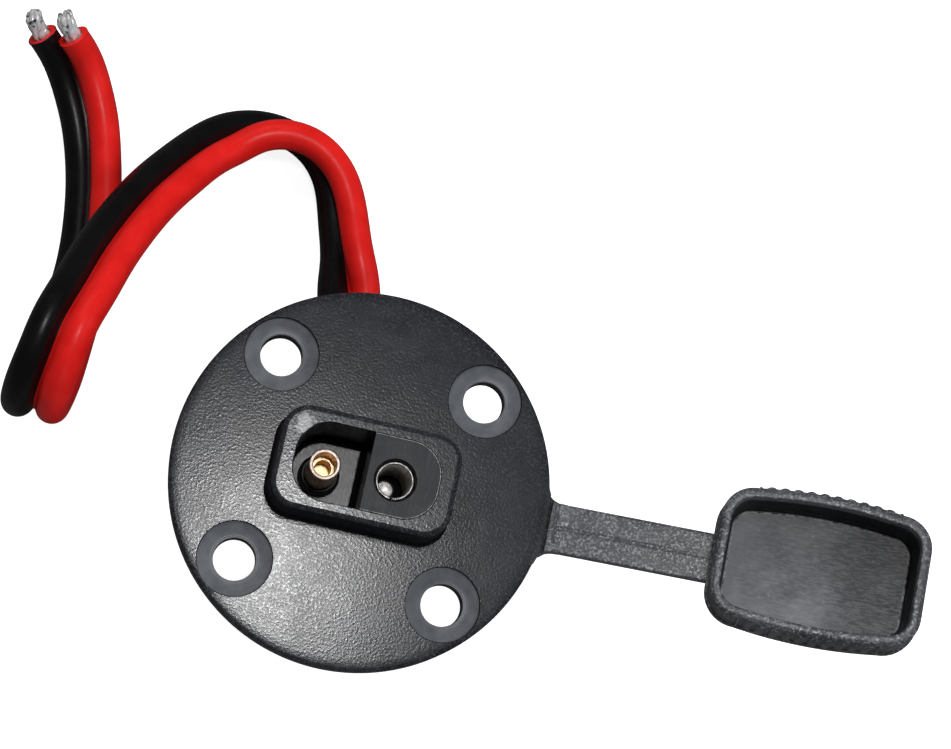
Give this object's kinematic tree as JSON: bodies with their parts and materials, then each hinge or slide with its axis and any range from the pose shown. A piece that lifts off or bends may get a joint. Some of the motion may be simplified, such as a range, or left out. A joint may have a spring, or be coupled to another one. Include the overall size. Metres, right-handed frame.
{
  "type": "sae connector port",
  "caption": "Round flange with a raised two-pole socket, a strap with an open dust cap, and a short red and black twin cable with tinned ends.",
  "frame": {"origin": "centre of the flat end of the rear barrel, which the port rests on", "axes": "+Z the way the socket faces, +X from the socket along the strap to the dust cap"},
  "size_m": [0.1582, 0.0962, 0.0439],
  "materials": {
    "flange_pvc": "fine grained charcoal moulding, satin dishes round the screw holes",
    "insert_nylon": "smooth satin black",
    "pin_brass": "bright, pale at the rim",
    "sleeve_tin": "tin plated, dull silver",
    "relief_pvc": "satin black",
    "black_insulation": "glossy",
    "red_insulation": "glossy",
    "tinned_strands": "tinned copper strands, rough silver",
    "strap_pvc": "fine grained charcoal",
    "cap_pvc": "fine grained outside, smooth brushed floor"
  },
  "bodies": {
    "port": {"flange_housing": "flange_pvc", "terminal_insert": "insert_nylon", "pin_terminal": "pin_brass", "socket_terminal": "sleeve_tin", "strain_relief": "relief_pvc", "black_wire": "black_insulation", "red_wire": "red_insulation", "black_strands": "tinned_strands", "red_strands": "tinned_strands"},
    "strap": {"strap_inner": "strap_pvc"},
    "cap": {"dust_cap": "cap_pvc"}
  },
  "joints": [
    {"name": "strap_root_hinge", "type": "hinge", "parent": "port", "child": "strap", "pos_m": [0.0308, 0, 0.0224], "axis": [0, -1, 0], "range_deg": [0, 78], "stiffness_Nm_per_rad": 0.01},
    {"name": "strap_bend_hinge", "type": "hinge", "parent": "strap", "child": "cap", "pos_m": [0.04205, 0, 0.02479], "axis": [0, -1, 0], "range_deg": [0, 90], "stiffness_Nm_per_rad": 0.01}
  ]
}
